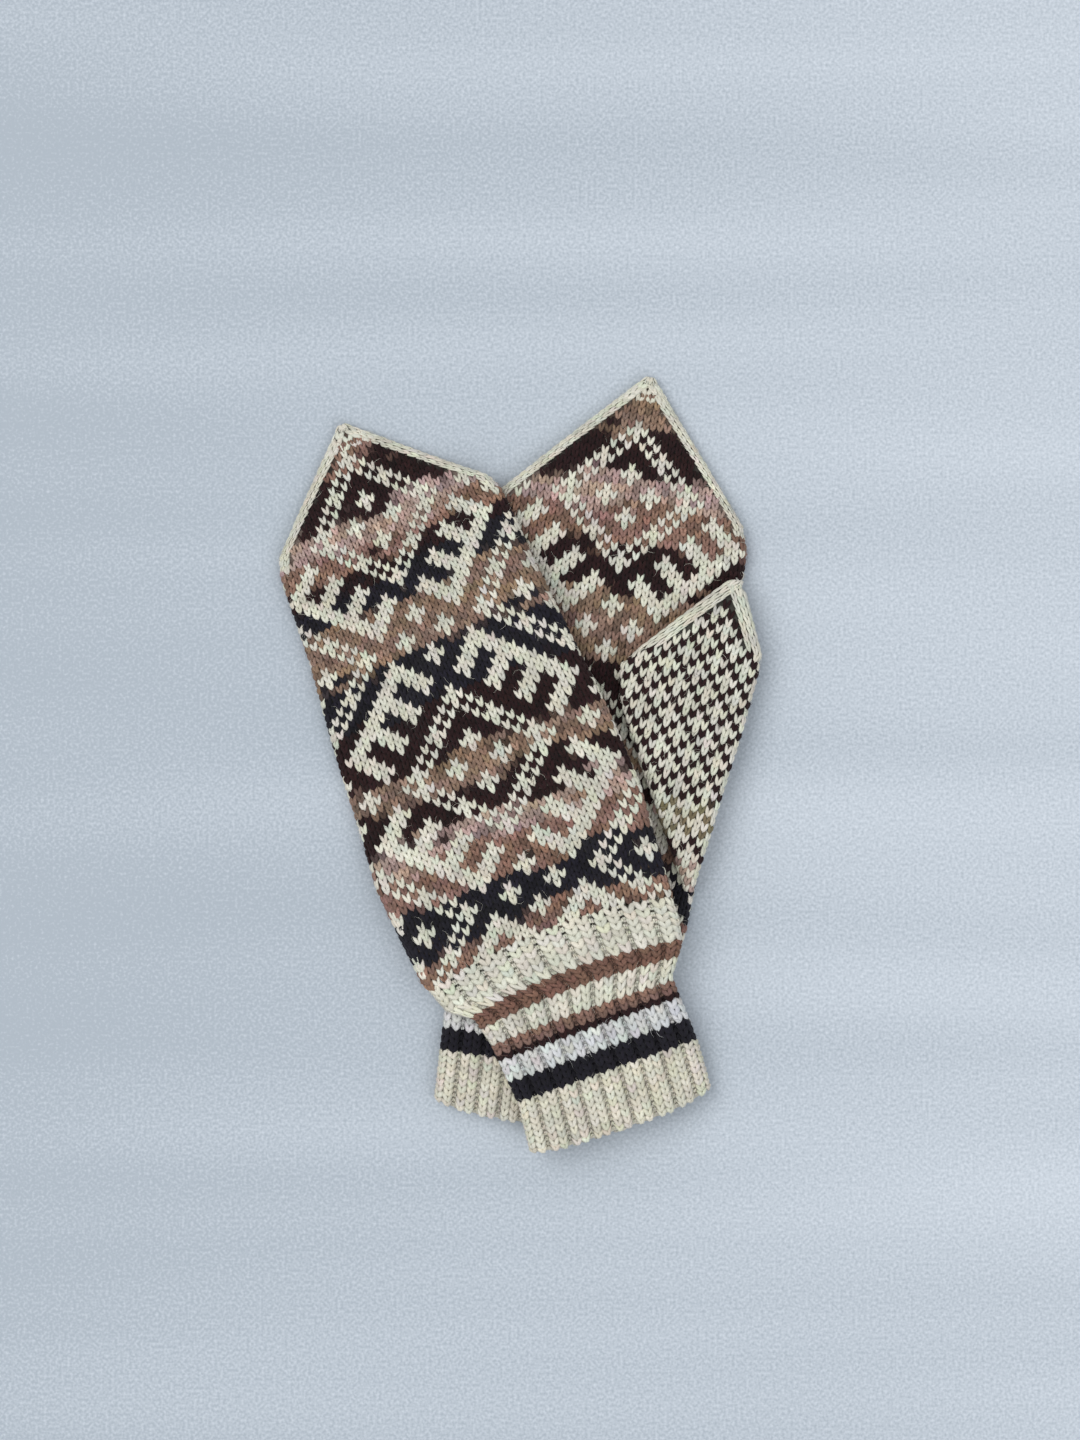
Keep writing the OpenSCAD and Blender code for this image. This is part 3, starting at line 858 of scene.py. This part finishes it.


# --- The fabric behind the stitches: loops and floats, their yarns darkened as painted shade --------------------
LINING_DEPTH = 0.75
LOOP_PAINTED_SHADE = 0.9         # painted shade: the loops behind the cuff's yarn are its colours darkened by this
DARK_IN_SHADED_FLOATS, CREAM_IN_SHADED_FLOATS = 0.35, 0.05    # shares of the dark and of the cream yarn in the hand's floats, kept low as painted shade where they show between stitches
# painted shade: the thumb's fabric behind its stitches is cream darkened to this share
THUMB_SHADED_CREAM = 0.09


def lining(name, place, first, last, colour_at, body, thickness, sides=96, step=1.6):
    """A thin double wall behind the yarn, closed at its ends."""
    a = np.linspace(first, last, max(2, int((last - first) / step)))
    share = np.arange(sides) / sides
    rings = []
    for depth in (-LINING_DEPTH, -thickness + INSET):
        aa = np.repeat(a[:, None], sides, axis=1)
        rings.append(place(aa, np.broadcast_to(share, aa.shape), np.full_like(aa, depth)))
    rows = len(a)
    points = np.concatenate([r.reshape(-1, 3) for r in rings])
    i, j = (g.ravel() for g in np.meshgrid(np.arange(rows - 1), np.arange(sides), indexing="ij"))
    k = (j + 1) % sides
    outer = np.stack([i * sides + j, i * sides + k, (i + 1) * sides + k, (i + 1) * sides + j], axis=1)
    inner = outer[:, ::-1] + rows * sides
    j = np.arange(sides)
    k = (j + 1) % sides
    base = rows * sides
    foot = np.stack([k, j, base + j, base + k], axis=1)
    far = (rows - 1) * sides
    head = np.stack([far + j, far + k, base + far + k, base + far + j], axis=1)
    colour = np.concatenate([np.repeat(colour_at(a), sides, axis=0)] * 2)
    yarn = np.tile((0.0, 1.0, 0.0), (len(points), 1))
    return mesh_piece(name, [(points, np.concatenate([outer, inner, foot, head]), colour, yarn)], lining_wool, body)


def cuff_colour(a):
    stops = [0, WELT_END, NAVY_END, WHITE_END, WHITE_END + 2.4, TAUPE_END, CREAM_END, BROWN_END]
    colours = np.array([WARM_CREAM, NAVY, WHITE, PLUM, TAUPE, CREAM, BROWN, CREAM])
    # painted shade: the cuff's yarn colours, darkened where they show between the stitches
    return LOOP_PAINTED_SHADE * colours[np.searchsorted(stops, a, side="right") - 1]


def linings(m):
    def ribbed(a, share, depth):
        way, relief = rib_way(share * AROUND)
        return cuff_surface(m, a, way, depth + relief)

    def plain(a, share, depth):
        return hand_surface(m, a, share * 2 * hand_half_turn(m, a), depth)

    def thumb_wall(a, share, depth):
        return thumb_surface(m, a, share * 2 * thumb_half_turn(m, a), depth)

    def hand_colour(a):
        dark = stripe_colour(m.stripes, (a - m.chart_middle) / ROW)
        # the floats' dark and cream yarn, dimmed as painted shade between the stitches
        return DARK_IN_SHADED_FLOATS * dark + CREAM_IN_SHADED_FLOATS * np.array(CREAM)

    def thumb_shade_colour(a):
        # painted shade: near-black cream behind the thumb's stitches
        return np.tile(THUMB_SHADED_CREAM * np.array(CREAM), (len(a), 1))

    body = f"{m.name}_mitten"
    inside = lining(f"{m.name}_cuff_inside", ribbed, 0.8, CUFF_END, cuff_colour, body, FABRIC, sides=144)
    inside = lining(f"{m.name}_hand_inside", plain, CUFF_END, LENGTH - 2, hand_colour, body, FABRIC)
    inside = lining(f"{m.name}_thumb_inside", thumb_wall, GUSSET_START + 3, THUMB_END - 2, thumb_shade_colour, None,
                    THUMB_FABRIC, sides=48)
    bend_at_thumb(m, inside)


for mitten in (right, left):
    panel(mitten, "back", mitten is left)
    panel(mitten, "palm", mitten is right)
    edge_band(mitten)
    tip(mitten)
    cuff(mitten)
    thumb(mitten)
    linings(mitten)


# --- Table, light and camera ------------------------------------------------------------------------------------
def table():
    bpy.ops.mesh.primitive_plane_add(size=TABLE)
    top = bpy.context.object
    top.name = "table_top"
    material = bpy.data.materials.new("pale_table")
    material.use_nodes = True
    tree = material.node_tree
    shader = tree.nodes["Principled BSDF"]
    shader.inputs["Roughness"].default_value = 0.8
    shader.inputs["Specular IOR Level"].default_value = 0.2
    where = node(tree, "ShaderNodeTexCoord")
    speckle = node(tree, "ShaderNodeTexNoise")
    speckle.inputs["Scale"].default_value = 900
    speckle.inputs["Detail"].default_value = 2
    tree.links.new(where.outputs["Object"], speckle.inputs["Vector"])
    ramp = node(tree, "ShaderNodeValToRGB")
    ramp.color_ramp.elements[0].position = 0.3
    ramp.color_ramp.elements[0].color = (*screen(168, 177, 187), 1)
    ramp.color_ramp.elements[1].position = 0.7
    ramp.color_ramp.elements[1].color = (*screen(207, 214, 223), 1)
    stretch = node(tree, "ShaderNodeMapping")
    stretch.inputs["Scale"].default_value = (0.6, 8, 1)
    tree.links.new(where.outputs["Object"], stretch.inputs["Vector"])
    waves = node(tree, "ShaderNodeTexNoise")
    waves.inputs["Scale"].default_value = 3
    waves.inputs["Detail"].default_value = 1
    tree.links.new(stretch.outputs["Vector"], waves.inputs["Vector"])
    mixed = node(tree, "ShaderNodeMix")
    mixed.inputs["Factor"].default_value = 0.3
    tree.links.new(speckle.outputs["Fac"], mixed.inputs["A"])
    tree.links.new(waves.outputs["Fac"], mixed.inputs["B"])
    # painted light: the table a little paler towards the right, where the light falls brighter
    parts = node(tree, "ShaderNodeSeparateXYZ")
    tree.links.new(where.outputs["Object"], parts.inputs[0])
    painted_light = remapped(tree, parts.outputs["X"], (-0.25, 0.25), (-0.2, 0.05))
    total = node(tree, "ShaderNodeMath", operation="ADD")
    tree.links.new(mixed.outputs["Result"], total.inputs[0])
    tree.links.new(painted_light, total.inputs[1])
    tree.links.new(total.outputs[0], ramp.inputs["Fac"])
    tree.links.new(ramp.outputs["Color"], shader.inputs["Base Color"])
    top.data.materials.append(material)


TABLE = 30               # the table top's side, in metres, so that low views don't see its edge close by


def area_light(name, position, size, power, colour):
    lamp = bpy.data.lights.new(name, "AREA")
    lamp.shape = "DISK"
    lamp.size = size
    lamp.energy = power
    lamp.color = colour
    holder = bpy.data.objects.new(name, lamp)
    holder.location = position
    holder.rotation_euler = (-Vector(position)).to_track_quat("-Z", "Y").to_euler()
    bpy.context.collection.objects.link(holder)


def lights():
    area_light("window", (-1.3, 0.6, 2.4), 2.2, 40, (1.0, 0.985, 0.96))
    area_light("fill", (1.2, -1.0, 2.4), 2.4, 22, (0.98, 0.99, 1.0))
    world = bpy.data.worlds.new("room")
    world.use_nodes = True
    world.node_tree.nodes["Background"].inputs["Color"].default_value = (0.9, 0.935, 0.96, 1)
    world.node_tree.nodes["Background"].inputs["Strength"].default_value = 0.6
    bpy.context.scene.world = world


VIEW_HEIGHT = 0.5443     # of the table, seen from top to bottom of the frame
VIEW_MIDDLE = (0.0076, 0.0164)
CAMERA_HEIGHT = 1.5


def camera():
    lens = bpy.data.cameras.new("camera")
    lens.sensor_fit = "VERTICAL"
    lens.sensor_height = 24
    lens.lens = 24 * CAMERA_HEIGHT / VIEW_HEIGHT
    holder = bpy.data.objects.new("camera", lens)
    holder.location = (*VIEW_MIDDLE, CAMERA_HEIGHT)
    bpy.context.collection.objects.link(holder)
    bpy.context.scene.camera = holder


table()
lights()
camera()
bpy.context.scene.view_settings.view_transform = "Standard"
